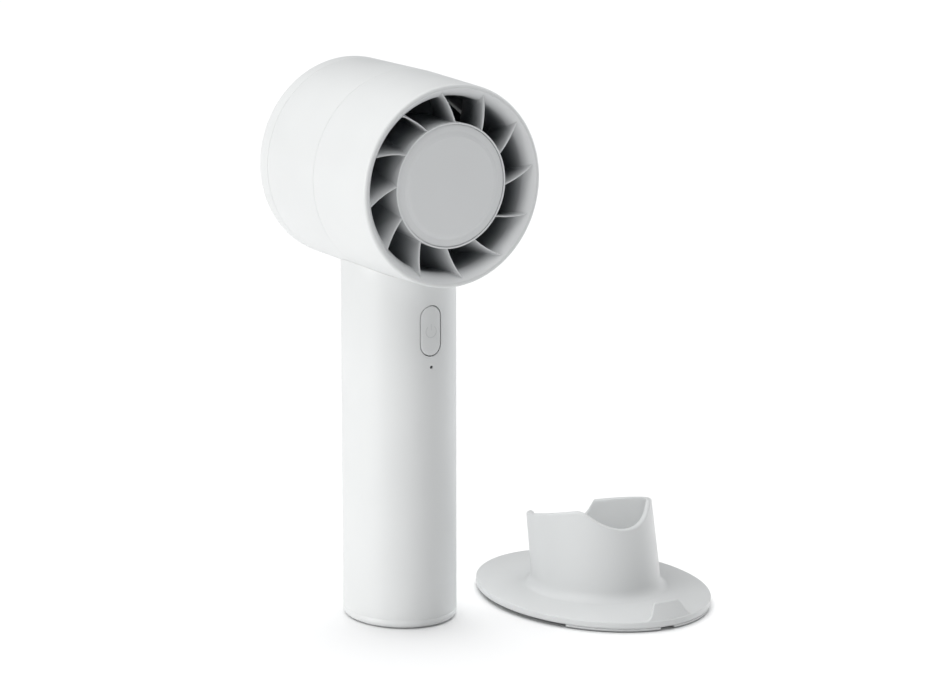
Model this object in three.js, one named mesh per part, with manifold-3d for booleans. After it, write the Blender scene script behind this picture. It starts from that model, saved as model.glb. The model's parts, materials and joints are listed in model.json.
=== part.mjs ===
import * as THREE from 'three';
import { mergeVertices } from 'three/addons/utils/BufferGeometryUtils.js';
import Module from 'manifold-3d';

// A hand-held turbo fan with its docking stand. Millimetres, +Z up, the fan blows towards -Y.
// The origin is the centre of the handle's flat bottom.

const wasm = await Module();
wasm.setup();

// Handle: an oval tube
const HANDLE_X = 18.35;
const HANDLE_Y = 20.6;
const HANDLE_WALL = 1.8;
const HANDLE_EDGE = 1.9;
const CAP_SEAM_Z = 3.0;
const HANDLE_TOP_Z = 128;
const HANDLE_SEGMENTS = 48;

// Head: a short drum whose axis lies along Y
const HEAD_Z = 150.4;
const HEAD_FRONT_Y = -34.4;
const HEAD_REAR_Y = 33.9;
const SEAM_Y = -3.2;
const HEAD_R_FRONT = 33.0;
const HEAD_R_MID = 33.8;
const HEAD_R_REAR = 33.4;
const HEAD_WALL = 1.9;
const BEZEL_Y = 27.3;
const HEAD_SEGMENTS = 48;
const GAP = 0.15;

// Duct, guide vanes and hub
const DUCT_R = 28.7;
const LIP_R = 31.9;
const LIP_DEPTH = 5.1;
const HUB_R = 20.45;
const HUB_CAP_R = 19.75;
const HUB_CAP_Y = -33.65;
const HUB_FRONT_Y = -33.2;
const HUB_SEAT_Y = -31.9;
const HUB_REAR_Y = -13.4;
const VANE_COUNT = 12;
const VANE_FRONT_Y = -33.15;
const VANE_REAR_Y = -14.5;
const VANE_START = -4.3;
const VANE_SWEEP = 11;
const VANE_TWIST = -9;

// Motor and impeller
const SHAFT_R = 1.5;
const BEARING_BORE_R = 1.56;
const BEARING_R = 4;
const COIL_COUNT = 6;
const BLADE_COUNT = 7;
const IMPELLER_HUB_R = 19.5;
const IMPELLER_TIP_R = 28.1;

// Power button and its switch, in the front of the handle
const BUTTON_Z = 100.5;
const BUTTON_W = 7.6;
const BUTTON_H = 16.6;
const BUTTON_GAP = 0.25;
const LED_Z = 88.4;
const LED_R = 0.55;

// Charging socket, in the back of the handle
const SOCKET_Z = 25;
const SOCKET_W = 9.0;
const SOCKET_H = 3.3;
const SOCKET_GAP = 0.3;

// Docking stand
const STAND_X = 66.05;
const STAND_Y = -17.4;
const FLANGE_X = 36.0;
const FLANGE_Y = 47.45;
const FLANGE_BOTTOM_Z = 1.15;
const FLANGE_EDGE_Z = 3.5;
const CUP_LEAN = 10.7;
const CUP_SHIFT = -2.75;
const CUP_CLEARANCE = 0.6;
const CUP_WALL = 1.85;
const CUP_DRAFT = 0.019;
const CUP_RIM = 31.5;
const CUP_RIM_SLOPE = 0.23;
const CUP_FLOOR = 5.2;
const STAND_SEGMENTS = 48;

const fan = new THREE.Group();
fan.name = 'handheld_fan';

// ---- materials ----

function material(color, roughness, metalness = 0) {
  return new THREE.MeshStandardMaterial({ color, roughness, metalness });
}

const WHITE = material(0xeceeed, 0.42);
const WHITE_INNER = material(0xd9dbda, 0.5);
const DARK_GREY = material(0x3c4043, 0.5);
const BUTTON_WHITE = material(0xe3e5e4, 0.38);
const FRAME_GREY = material(0x8d9092, 0.6);
const STEEL = material(0xb4b6b8, 0.3, 1);
const DARK_STEEL = material(0x56585a, 0.4, 1);
const COPPER = material(0xb06a38, 0.35, 1);
const ALUMINIUM = material(0xc4c7ca, 0.35, 1);
const CELL_SLEEVE = material(0x4a7f9c, 0.4);
const BOARD_GREEN = material(0x2c5c3c, 0.5);
const BLACK_PLASTIC = material(0x1c1d1e, 0.5);
const BLACK_RUBBER = material(0x222223, 0.8);
const LENS = material(0x303234, 0.2);
const RED_LEAD = material(0xb02a24, 0.5);
const BLACK_LEAD = material(0x1f1f20, 0.5);

// ---- geometry helpers ----

function signedVolume(geometry) {
  const p = geometry.attributes.position;
  const index = geometry.index;
  const a = new THREE.Vector3();
  const b = new THREE.Vector3();
  const c = new THREE.Vector3();
  let volume = 0;
  for (let i = 0; i < index.count; i += 3) {
    a.fromBufferAttribute(p, index.getX(i));
    b.fromBufferAttribute(p, index.getX(i + 1));
    c.fromBufferAttribute(p, index.getX(i + 2));
    volume += a.dot(b.cross(c)) / 6;
  }
  return volume;
}

// Welds a geometry and turns it the right way out.
function welded(source) {
  const bare = source.clone();
  for (const key of Object.keys(bare.attributes)) {
    if (key !== 'position') bare.deleteAttribute(key);
  }
  const geometry = mergeVertices(bare, 1e-4);
  const kept = [];
  const index = geometry.index.array;
  for (let i = 0; i < index.length; i += 3) {
    const [a, b, c] = [index[i], index[i + 1], index[i + 2]];
    if (a !== b && b !== c && c !== a) kept.push(a, b, c);
  }
  geometry.setIndex(kept);
  if (signedVolume(geometry) < 0) {
    for (let i = 0; i < kept.length; i += 3) {
      [kept[i + 1], kept[i + 2]] = [kept[i + 2], kept[i + 1]];
    }
    geometry.setIndex(kept);
  }
  return geometry;
}

function solid(source) {
  const geometry = welded(source);
  const vertProperties = Float32Array.from(geometry.attributes.position.array);
  const triVerts = Uint32Array.from(geometry.index.array);
  return new wasm.Manifold(new wasm.Mesh({ numProp: 3, vertProperties, triVerts }));
}

function geometryOf(manifold) {
  const mesh = manifold.getMesh();
  const geometry = new THREE.BufferGeometry();
  geometry.setAttribute('position', new THREE.BufferAttribute(Float32Array.from(mesh.vertProperties), 3));
  geometry.setIndex(Array.from(mesh.triVerts));
  return geometry;
}

function addPart(name, shape, look) {
  const geometry = shape instanceof THREE.BufferGeometry ? welded(shape) : geometryOf(shape);
  geometry.computeVertexNormals();
  const mesh = new THREE.Mesh(geometry, look.clone());
  mesh.name = name;
  fan.add(mesh);
  return mesh;
}

// A turned shape about the Y axis. Points are [radius, y]; a ring's profile comes back to its start.
function turned(points, segments) {
  return new THREE.LatheGeometry(points.map(([r, y]) => new THREE.Vector2(r, y)), segments);
}

// The same about the head's axis.
function headTurned(points, segments = HEAD_SEGMENTS) {
  return turned(points, segments).translate(0, 0, HEAD_Z);
}

function ring(rOuter, rInner, yLow, yHigh, segments = HEAD_SEGMENTS) {
  const corner = [rOuter, yLow];
  return headTurned([corner, [rOuter, yHigh], [rInner, yHigh], [rInner, yLow], corner], segments);
}

function drum(radius, yLow, yHigh, segments = HEAD_SEGMENTS) {
  return headTurned([[0, yLow], [radius, yLow], [radius, yHigh], [0, yHigh]], segments);
}

function upright(radius, zLow, zHigh, x, y, segments = 24) {
  const rod = new THREE.CylinderGeometry(radius, radius, zHigh - zLow, segments);
  return rod.rotateX(Math.PI / 2).translate(x, y, (zLow + zHigh) / 2);
}

function along(radius, yLow, yHigh, x, z, segments = 24) {
  const rod = new THREE.CylinderGeometry(radius, radius, yHigh - yLow, segments);
  return rod.translate(x, (yLow + yHigh) / 2, z);
}

function block(x0, x1, y0, y1, z0, z1) {
  const box = new THREE.BoxGeometry(x1 - x0, y1 - y0, z1 - z0);
  return box.translate((x0 + x1) / 2, (y0 + y1) / 2, (z0 + z1) / 2);
}

// Skins a stack of closed rings, each the same number of points, and caps both ends.
function loft(rings) {
  const count = rings[0].length;
  const positions = [];
  const index = [];
  for (const points of rings) {
    for (const point of points) positions.push(...point);
  }
  for (let level = 0; level < rings.length - 1; level += 1) {
    for (let i = 0; i < count; i += 1) {
      const j = (i + 1) % count;
      const low = level * count;
      const high = low + count;
      index.push(low + i, low + j, high + j, low + i, high + j, high + i);
    }
  }
  for (const level of [0, rings.length - 1]) {
    const points = rings[level];
    const middle = positions.length / 3;
    const sum = points.reduce((s, p) => [s[0] + p[0], s[1] + p[1], s[2] + p[2]], [0, 0, 0]);
    positions.push(...sum.map((value) => value / count));
    for (let i = 0; i < count; i += 1) {
      const a = level * count + i;
      const b = level * count + ((i + 1) % count);
      if (level === 0) index.push(middle, b, a);
      else index.push(middle, a, b);
    }
  }
  const geometry = new THREE.BufferGeometry();
  geometry.setAttribute('position', new THREE.BufferAttribute(new Float32Array(positions), 3));
  geometry.setIndex(index);
  return geometry;
}

function oval(a, b, z, x = 0, y = 0, segments = HANDLE_SEGMENTS) {
  const points = [];
  for (let i = 0; i < segments; i += 1) {
    const t = (2 * Math.PI * i) / segments;
    points.push([x + a * Math.cos(t), y + b * Math.sin(t), z]);
  }
  return points;
}

// An oval post through the given [inset, z] levels.
function ovalPost(levels, a = HANDLE_X, b = HANDLE_Y) {
  return loft(levels.map(([inset, z]) => oval(a - inset, b - inset, z)));
}

// A stadium outline standing up in the XZ plane, pushed through along Y.
function stadium(width, height, yLow, yHigh, z, steps = 8) {
  const r = width / 2;
  const half = height / 2 - r;
  const outline = [];
  for (let i = 0; i <= steps; i += 1) {
    const t = (Math.PI * i) / steps;
    outline.push([r * Math.cos(t), half + r * Math.sin(t)]);
  }
  for (let i = 0; i <= steps; i += 1) {
    const t = Math.PI + (Math.PI * i) / steps;
    outline.push([r * Math.cos(t), -half + r * Math.sin(t)]);
  }
  return loft([yHigh, yLow].map((y) => outline.map(([u, v]) => [u, y, z + v])));
}

function lead(points, radius) {
  const path = new THREE.CatmullRomCurve3(points.map((p) => new THREE.Vector3(...p)));
  const disc = new THREE.Shape();
  disc.absarc(0, 0, radius, 0, 2 * Math.PI);
  return new THREE.ExtrudeGeometry(disc, { steps: 12, curveSegments: 8, extrudePath: path });
}

// ---- head ----

function headRadiusAt(y) {
  const [end, radius] = y < SEAM_Y ? [HEAD_FRONT_Y, HEAD_R_FRONT] : [HEAD_REAR_Y, HEAD_R_REAR];
  return THREE.MathUtils.lerp(HEAD_R_MID, radius, (y - SEAM_Y) / (end - SEAM_Y));
}

// The head's outer form, grown by a clearance, used to shape the top of the handle.
function headForm(clearance) {
  const ends = [HEAD_FRONT_Y, SEAM_Y, HEAD_REAR_Y];
  const side = ends.map((y) => [headRadiusAt(y) + clearance, y]);
  return headTurned([[0, HEAD_FRONT_Y], ...side, [0, HEAD_REAR_Y]], 2 * HEAD_SEGMENTS);
}

function neckHole() {
  return solid(upright(5, 110, 126, 0, 0));
}

function makeFrontShell() {
  const edge = HEAD_FRONT_Y;
  const start = [LIP_R + GAP, edge + 0.1];
  const shell = headTurned([
    start,
    [HEAD_R_FRONT - 0.75, edge],
    [HEAD_R_FRONT - 0.36, edge + 0.12],
    [HEAD_R_FRONT - 0.09, edge + 0.45],
    [HEAD_R_FRONT, edge + 1.0],
    [HEAD_R_MID, SEAM_Y - GAP / 2],
    [HEAD_R_MID - HEAD_WALL, SEAM_Y - GAP / 2],
    [HEAD_R_MID - HEAD_WALL - 0.3, SEAM_Y - 8],
    [LIP_R + GAP, SEAM_Y - 14],
    start,
  ]);
  addPart('head_front_shell', solid(shell).subtract(neckHole()), WHITE);
}

function makeRearShell() {
  const inner = HEAD_R_MID - HEAD_WALL;
  const start = [HEAD_R_MID, SEAM_Y + GAP / 2];
  const shell = headTurned([
    start,
    [headRadiusAt(BEZEL_Y), BEZEL_Y - GAP],
    [headRadiusAt(BEZEL_Y) - 1.6, BEZEL_Y - GAP],
    [inner - 0.3, 10],
    [inner, SEAM_Y + GAP / 2],
    start,
  ]);
  const tongue = solid(ring(inner - 0.4, inner - 1.2, SEAM_Y - 4, SEAM_Y + 2.4));
  const body = solid(shell).add(tongue).add(makeTongueRoot());
  addPart('head_rear_shell', body.subtract(neckHole()), WHITE);
}

// Joins the locating tongue to the rear shell's wall.
function makeTongueRoot() {
  const inner = HEAD_R_MID - HEAD_WALL;
  return solid(ring(inner + 0.3, inner - 0.8, SEAM_Y + 0.7, SEAM_Y + 2.4));
}

function makeRearBezel() {
  const r = headRadiusAt(BEZEL_Y);
  const start = [r, BEZEL_Y];
  const bezel = headTurned([
    start,
    [HEAD_R_REAR - 0.1, HEAD_REAR_Y - 1.9],
    [HEAD_R_REAR - 0.6, HEAD_REAR_Y - 0.7],
    [HEAD_R_REAR - 1.5, HEAD_REAR_Y - 0.1],
    [HEAD_R_REAR - 2.4, HEAD_REAR_Y],
    [29.4, HEAD_REAR_Y - 0.9],
    [29.4, BEZEL_Y - 1.6],
    [r - 1.85, BEZEL_Y - 1.6],
    [r - 1.85, BEZEL_Y],
    start,
  ]);
  addPart('rear_bezel', bezel, WHITE);
}

function makeRearGrille() {
  const radius = 29.25;
  const outline = new THREE.Shape();
  outline.absarc(0, 0, radius, 0, 2 * Math.PI);
  const slots = 20;
  for (const [rIn, rOut] of [[8.5, 16.6], [18.2, 27.4]]) {
    for (let i = 0; i < slots; i += 1) {
      const hole = new THREE.Path();
      const skew = (r) => ((r - 8.5) / 19) * 0.5;
      const web = (r) => 0.65 / r;
      const middle = (2 * Math.PI * (i + 0.5)) / slots;
      const half = Math.PI / slots;
      const corners = [[rIn, -1], [rOut, -1], [rOut, 1], [rIn, 1]].map(([r, side]) => {
        const t = middle + skew(r) + side * (half - web(r));
        return [r * Math.cos(t), r * Math.sin(t)];
      });
      corners.forEach(([x, y], k) => (k === 0 ? hole.moveTo(x, y) : hole.lineTo(x, y)));
      hole.closePath();
      outline.holes.push(hole);
    }
  }
  const plate = new THREE.ExtrudeGeometry(outline, { depth: 1.8, bevelEnabled: false, curveSegments: 60 });
  plate.rotateX(Math.PI / 2).translate(0, HEAD_REAR_Y - 1.5, HEAD_Z);
  addPart('rear_grille', plate, WHITE_INNER);
}

// ---- guide vanes ----

// One blade between two radii: the angle at each radius and depth comes from a function of both.
function blade(radii, depths, angleAt, thicknessAt) {
  const sides = [-1, 1].map((side) => depths.map((y) => radii.map((r) => {
    const t = angleAt(r, y) + (side * thicknessAt(r, y)) / (2 * r);
    return [r * Math.cos(t), y, HEAD_Z + r * Math.sin(t)];
  })));
  const loops = depths.map((_, i) => [...sides[0][i], ...sides[1][i].slice().reverse()]);
  return loft(loops);
}

function vane(k) {
  const base = THREE.MathUtils.degToRad(VANE_START + (360 / VANE_COUNT) * k);
  const sweep = THREE.MathUtils.degToRad(VANE_SWEEP);
  const twist = THREE.MathUtils.degToRad(VANE_TWIST);
  const angleAt = (r, y) => {
    const s = (y - VANE_FRONT_Y) / (VANE_REAR_Y - VANE_FRONT_Y);
    return base + (sweep * (r - HUB_R)) / (30.2 - HUB_R) + twist * s ** 1.4;
  };
  const thicknessAt = (r, y) => (y < VANE_FRONT_Y + 0.1 ? 0.55 : 1.05);
  const radii = [19.8, 23.4, 27.2, 30.9];
  const depths = [VANE_FRONT_Y, VANE_FRONT_Y + 0.8, -26, -20, VANE_REAR_Y];
  return blade(radii, depths, angleAt, thicknessAt);
}

function makeGuideVanes() {
  const lipStart = [LIP_R, HEAD_FRONT_Y + 0.3];
  const duct = headTurned([
    lipStart,
    [LIP_R - 0.25, HEAD_FRONT_Y + 0.05],
    [31.0, HEAD_FRONT_Y + 0.4],
    [30.2, HEAD_FRONT_Y + 1.2],
    [29.4, HEAD_FRONT_Y + 2.5],
    [28.9, HEAD_FRONT_Y + 3.8],
    [DUCT_R, HEAD_FRONT_Y + LIP_DEPTH],
    [DUCT_R, HUB_REAR_Y],
    [30.3, HUB_REAR_Y],
    [30.3, -16.5],
    [LIP_R, -17.5],
    lipStart,
  ]);
  const canStart = [HUB_R, HUB_FRONT_Y + 0.25];
  const can = headTurned([
    canStart,
    [HUB_R, HUB_REAR_Y],
    [4.6, HUB_REAR_Y],
    [4.6, HUB_REAR_Y - 1.6],
    [18.9, HUB_REAR_Y - 1.6],
    [18.9, HUB_FRONT_Y],
    [HUB_R - 0.25, HUB_FRONT_Y],
    canStart,
  ]);
  let body = solid(duct).add(solid(can));
  for (let k = 0; k < VANE_COUNT; k += 1) body = body.add(solid(vane(k)));
  body = body.subtract(solid(drum(HUB_CAP_R + GAP, HEAD_FRONT_Y - 2, HUB_SEAT_Y)));
  for (const angle of [90, 210, 330]) {
    const t = THREE.MathUtils.degToRad(angle);
    const hole = along(1.15, -16, -12, 9 * Math.cos(t), HEAD_Z + 9 * Math.sin(t), 16);
    body = body.subtract(solid(hole));
  }
  addPart('guide_vanes', body, WHITE);
}

function makeHubCap() {
  const back = HUB_SEAT_Y - GAP;
  const cap = headTurned([
    [0, HUB_CAP_Y],
    [16.2, HUB_CAP_Y],
    [17.5, HUB_CAP_Y + 0.1],
    [18.6, HUB_CAP_Y + 0.32],
    [19.4, HUB_CAP_Y + 0.65],
    [HUB_CAP_R, HUB_CAP_Y + 1.05],
    [HUB_CAP_R, back],
    [18.7, back],
    [18.7, HUB_SEAT_Y + 3.6],
    [17.5, HUB_SEAT_Y + 3.6],
    [17.5, back],
    [0, back],
  ]);
  addPart('hub_cap', cap, WHITE);
}

function makeDuctLiner() {
  const start = [30.2, HUB_REAR_Y + 0.3];
  const liner = headTurned([
    start,
    [30.2, 17],
    [31.2, 21.5],
    [30.4, 22.4],
    [29.0, 17.6],
    [DUCT_R, 12],
    [DUCT_R, HUB_REAR_Y + 0.3],
    start,
  ]);
  addPart('duct_liner', liner, DARK_GREY);
}

// ---- motor ----

function makeMotor() {
  const wall = HUB_REAR_Y;
  const base = headTurned([
    [BEARING_R + 0.02, wall - 3.4],
    [5.6 - 1.05, wall - 3.4],
    [5.6 - 1.05, wall + 0.15],
    [11.4, wall + 0.15],
    [11.4, wall + 1.25],
    [5.2, wall + 1.25],
    [5.2, -1.9],
    [BEARING_R + 0.02, -1.9],
    [BEARING_R + 0.02, wall - 3.4],
  ], 32);
  let mount = solid(base);
  [90, 210, 330].forEach((angle, i) => {
    const t = THREE.MathUtils.degToRad(angle);
    const x = 9 * Math.cos(t);
    const z = HEAD_Z + 9 * Math.sin(t);
    mount = mount.subtract(solid(along(0.8, wall - 1, wall + 2, x, z, 16)));
    const head = solid(along(1.9, wall - 3.0, wall - 1.75, x, z, 16));
    const screw = head.add(solid(along(0.75, wall - 2, wall + 1.1, x, z, 16)));
    addPart(`motor_screw_${i + 1}`, screw, STEEL);
  });
  addPart('motor_base', mount, ALUMINIUM);
  addPart('bearing_front', ring(BEARING_R, BEARING_BORE_R, wall - 3.2, wall - 0.6, 24), STEEL);
  addPart('bearing_rear', ring(BEARING_R, BEARING_BORE_R, -4.7, -2.1, 24), STEEL);
  makeStator();
  addPart('motor_shaft', drum(SHAFT_R, wall - 3.6, 13.6, 24), STEEL);
  const bell = headTurned([
    [SHAFT_R + 0.02, -1.3],
    [15.0, -1.3],
    [15.0, -11.6],
    [16.0, -11.6],
    [16.0, -0.1],
    [SHAFT_R + 0.02, -0.1],
    [SHAFT_R + 0.02, -1.3],
  ], 40);
  addPart('rotor_bell', bell, DARK_STEEL);
  addPart('magnet_ring', ring(14.9, 13.2, -11.3, -1.6, 40), BLACK_RUBBER);
}

function makeStator() {
  const outline = new THREE.Shape();
  const half = Math.PI / COIL_COUNT;
  for (let i = 0; i < COIL_COUNT; i += 1) {
    const t = (2 * Math.PI * i) / COIL_COUNT;
    const face = half - 0.1;
    const stem = (r) => 1.3 / r;
    const corners = [
      [7.2, -stem(7.2)], [11.2, -stem(11.2)], [11.4, -face], [12.7, -face], [12.8, 0],
      [12.7, face], [11.4, face], [11.2, stem(11.2)], [7.2, stem(7.2)],
    ];
    corners.forEach(([r, a], k) => {
      const x = r * Math.cos(t + a);
      const y = r * Math.sin(t + a);
      if (i === 0 && k === 0) outline.moveTo(x, y);
      else outline.lineTo(x, y);
    });
  }
  outline.closePath();
  const bore = new THREE.Path();
  bore.absarc(0, 0, 5.35, 0, 2 * Math.PI);
  outline.holes.push(bore);
  const core = new THREE.ExtrudeGeometry(outline, { depth: 5.6, bevelEnabled: false, curveSegments: 16 });
  core.rotateX(Math.PI / 2).translate(0, -3.6, HEAD_Z);
  addPart('stator_core', core, DARK_STEEL);
  for (let i = 0; i < COIL_COUNT; i += 1) {
    const outer = solid(block(7.9, 10.8, -10.4, -2.4, -2.5, 2.5));
    const coil = outer.subtract(solid(block(7, 12, -9.5, -3.3, -1.6, 1.6)));
    const placed = geometryOf(coil).rotateY(-(2 * Math.PI * i) / COIL_COUNT).translate(0, 0, HEAD_Z);
    addPart(`stator_coil_${i + 1}`, placed, COPPER);
  }
}

// ---- impeller ----

function makeImpeller() {
  const start = [IMPELLER_HUB_R, -12.5];
  const hub = headTurned([
    start,
    [IMPELLER_HUB_R, 1.5],
    [18.6, 4.6],
    [16.2, 7.4],
    [12.2, 9.6],
    [7.0, 10.7],
    [SHAFT_R + 0.02, 10.9],
    [SHAFT_R + 0.02, 0.2],
    [4.6, 0.2],
    [4.6, 8.9],
    [11.3, 8.0],
    [14.8, 6.2],
    [17.0, 3.8],
    [17.9, 1.2],
    [17.9, -12.5],
    start,
  ], 36);
  let body = solid(hub);
  const reach = THREE.MathUtils.degToRad(58);
  const lean = THREE.MathUtils.degToRad(14);
  for (let k = 0; k < BLADE_COUNT; k += 1) {
    const base = (2 * Math.PI * k) / BLADE_COUNT;
    const angleAt = (r, y) => {
      const s = (y + 11) / 17;
      return base + reach * (s ** 1.25) + (lean * (r - IMPELLER_HUB_R)) / 9;
    };
    const depths = [-11, -7.2, -2.9, 1.5, 6];
    const thicknessAt = (r, y) => (y > 5 || y < -10 ? 0.6 : 1.3);
    const rootAt = [18.7, 23.4, IMPELLER_TIP_R];
    body = body.add(solid(blade(rootAt, depths, angleAt, thicknessAt)));
  }
  addPart('impeller', body, DARK_GREY);
  const nut = solid(drum(3.2, 11.1, 13.1, 6)).subtract(solid(drum(SHAFT_R + 0.04, 10, 14, 24)));
  addPart('impeller_nut', nut, STEEL);
}

// ---- handle ----

function frontOf(x) {
  return -HANDLE_Y * Math.sqrt(1 - (x / HANDLE_X) ** 2);
}

// The charging socket's rounded outline lying flat, grown by a clearance.
function socketForm(clearance, yLow, yHigh) {
  const upended = stadium(SOCKET_H + 2 * clearance, SOCKET_W + 2 * clearance, yLow, yHigh, 0, 6);
  return upended.rotateY(Math.PI / 2).translate(0, 0, SOCKET_Z);
}

function makeHandleShell() {
  const outer = solid(ovalPost([[0, CAP_SEAM_Z], [0, HANDLE_TOP_Z]]));
  const inner = solid(ovalPost([[HANDLE_WALL, CAP_SEAM_Z - 2], [HANDLE_WALL, HANDLE_TOP_Z + 2]]));
  let shell = outer.subtract(inner).subtract(solid(headForm(0.15)));
  const openingW = BUTTON_W + 2 * BUTTON_GAP;
  const openingH = BUTTON_H + 2 * BUTTON_GAP;
  shell = shell.subtract(solid(stadium(openingW, openingH, -24, -14, BUTTON_Z)));
  shell = shell.subtract(solid(along(LED_R, -24, -14, 0, LED_Z, 16)));
  shell = shell.subtract(solid(socketForm(SOCKET_GAP, 14, 24)));
  addPart('handle_shell', shell, WHITE);
}

function makeBottomCap() {
  const levels = [];
  const steps = 4;
  for (let i = 0; i <= steps; i += 1) {
    const t = (Math.PI / 2) * (i / steps);
    levels.push([HANDLE_EDGE * (1 - Math.sin(t)), HANDLE_EDGE * (1 - Math.cos(t))]);
  }
  levels.push([0, CAP_SEAM_Z - GAP]);
  let cap = solid(ovalPost(levels));
  const plug = solid(ovalPost([[HANDLE_WALL + 0.12, 2], [HANDLE_WALL + 0.12, 7.5]]));
  const hollow = solid(ovalPost([[HANDLE_WALL + 1.5, 2.2], [HANDLE_WALL + 1.5, 8]]));
  cap = cap.add(plug).subtract(hollow);
  addPart('bottom_cap', cap, WHITE);
}

function makeBattery() {
  const y = -2.2;
  addPart('battery_cell', upright(9.15, 13.2, 78.2, 0, y, 36), CELL_SLEEVE);
  const tub = solid(upright(10.6, 9.4, 82, 0, y, 36)).subtract(solid(upright(9.4, 11.2, 80.2, 0, y, 36)));
  const half = solid(block(-12, 12, y + 0.6, y + 12, 8, 84));
  const windows = solid(block(-12, 12, y - 12, y + 0.6, 24, 67));
  const cradle = tub.subtract(half).subtract(windows).add(makeCradleSpine(y));
  addPart('battery_cradle', cradle, FRAME_GREY);
  addPart('contact_bottom', block(-4, 4, y - 4, y + 0.4, 12.0, 12.7), STEEL);
  addPart('contact_top', block(-3.5, 3.5, y - 4, y + 0.4, 78.7, 79.4), STEEL);
}

// The strip down the front of the cradle that ties its two end saddles together.
function makeCradleSpine(y) {
  return solid(block(-4.5, 4.5, y - 11.4, y - 9.6, 12, 80));
}

function makeBoards() {
  addPart('main_board', block(-11.5, 11.5, 10.4, 12, 13, 79), BOARD_GREEN);
  const can = solid(socketForm(0, 12.3, 20.1)).subtract(solid(socketForm(-0.35, 13.4, 21)));
  addPart('charge_socket', can, STEEL);
  addPart('charge_tongue', block(-3.3, 3.3, 13.9, 19, SOCKET_Z - 0.35, SOCKET_Z + 0.35), BLACK_PLASTIC);
  addPart('charge_chip', block(-4, 4, 12.25, 13.6, 46, 54), BLACK_PLASTIC);
  addPart('switch_board', block(-9, 9, -13.2, -11.9, 86, 112), BOARD_GREEN);
  addPart('indicator_led', block(-1.2, 1.2, -14.4, -13.4, LED_Z - 0.8, LED_Z + 0.8), WHITE_INNER);
  addPart('indicator_lens', along(LED_R - 0.08, -20.3, -14.6, 0, LED_Z, 16), LENS);
}

function makeButton() {
  const face = solid(stadium(BUTTON_W, BUTTON_H, -22, -17.3, BUTTON_Z));
  const form = solid(ovalPost([[0.05, 80], [0.05, 120]]));
  const boss = solid(along(1.6, -17.8, -16.0, 0, BUTTON_Z, 16));
  addPart('power_button', face.intersect(form).add(boss), BUTTON_WHITE);
  const well = solid(along(1.5, -16, -14.2, 0, BUTTON_Z, 16));
  const body = solid(block(-3, 3, -15.0, -13.4, BUTTON_Z - 3, BUTTON_Z + 3)).subtract(well);
  addPart('switch_body', body, BLACK_PLASTIC);
  addPart('switch_plunger', along(1.3, -15.9, -14.7, 0, BUTTON_Z, 16), BLACK_RUBBER);
}

function makeNeck() {
  const z = 108;
  const plate = solid(ovalPost([[HANDLE_WALL + 0.25, z + 5.2], [HANDLE_WALL + 0.25, z + 7.0]]));
  const hole = solid(upright(4.2, z, z + 9, 0, 0));
  let body = plate.subtract(hole).subtract(solid(block(-10, 10, -22, -11, z, z + 9)));
  [-1, 1].forEach((side, i) => {
    const x = 9.5 * side;
    body = body.subtract(solid(upright(1.0, z, z + 9, x, 0, 16)));
    const head = solid(upright(2.0, z + 3.6, z + 5.0, x, 0, 16));
    const screw = head.add(solid(upright(0.85, z + 4.8, z + 9.2, x, 0, 16)));
    addPart(`neck_screw_${i + 1}`, screw, STEEL);
  });
  addPart('neck_plate', body, FRAME_GREY);
}

function makeLeads() {
  const looks = [RED_LEAD, BLACK_LEAD];
  [-1, 1].forEach((side, i) => {
    const x = 1.3 * side;
    const points = [[x, 9.4, 74], [x, 8.6, 84], [x, 4, 98], [x, 0.4, 110], [x, 0, 118.3]];
    addPart(i === 0 ? 'motor_lead_red' : 'motor_lead_black', lead(points, 0.6), looks[i]);
  });
}

// ---- docking stand ----

function standOval(inset, z, dx = 0, dy = 0) {
  return oval(FLANGE_X - inset, FLANGE_Y - inset, z, STAND_X + dx, STAND_Y + dy, STAND_SEGMENTS);
}

// A leaning oval post in the stand, in the cup's own tilted direction. Levels are [grow, height].
function cupPost(levels) {
  const lean = Math.tan(THREE.MathUtils.degToRad(CUP_LEAN));
  return loft(levels.map(([grow, z]) => {
    const y = STAND_Y + CUP_SHIFT + lean * (z - 3);
    return oval(HANDLE_X + grow, HANDLE_Y + grow, z, STAND_X, y, STAND_SEGMENTS);
  }));
}

// Everything above the cup's sloping rim, which stands higher at the front than at the back.
function aboveRim() {
  const heightAt = (y) => CUP_RIM - CUP_RIM_SLOPE * (y - STAND_Y);
  const ends = [STAND_Y - 34, STAND_Y + 34];
  const profile = [[ends[0], heightAt(ends[0])], [ends[1], heightAt(ends[1])], [ends[1], 60], [ends[0], 60]];
  const reach = [STAND_X - 34, STAND_X + 34];
  return loft(reach.map((x) => profile.map(([y, z]) => [x, y, z])));
}

// A round scoop cut down through one wall of the cup.
function cupScoop(radius, z, yLow, yHigh) {
  const roller = along(radius, yLow, yHigh, STAND_X, z, 40);
  return solid(roller);
}

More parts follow.
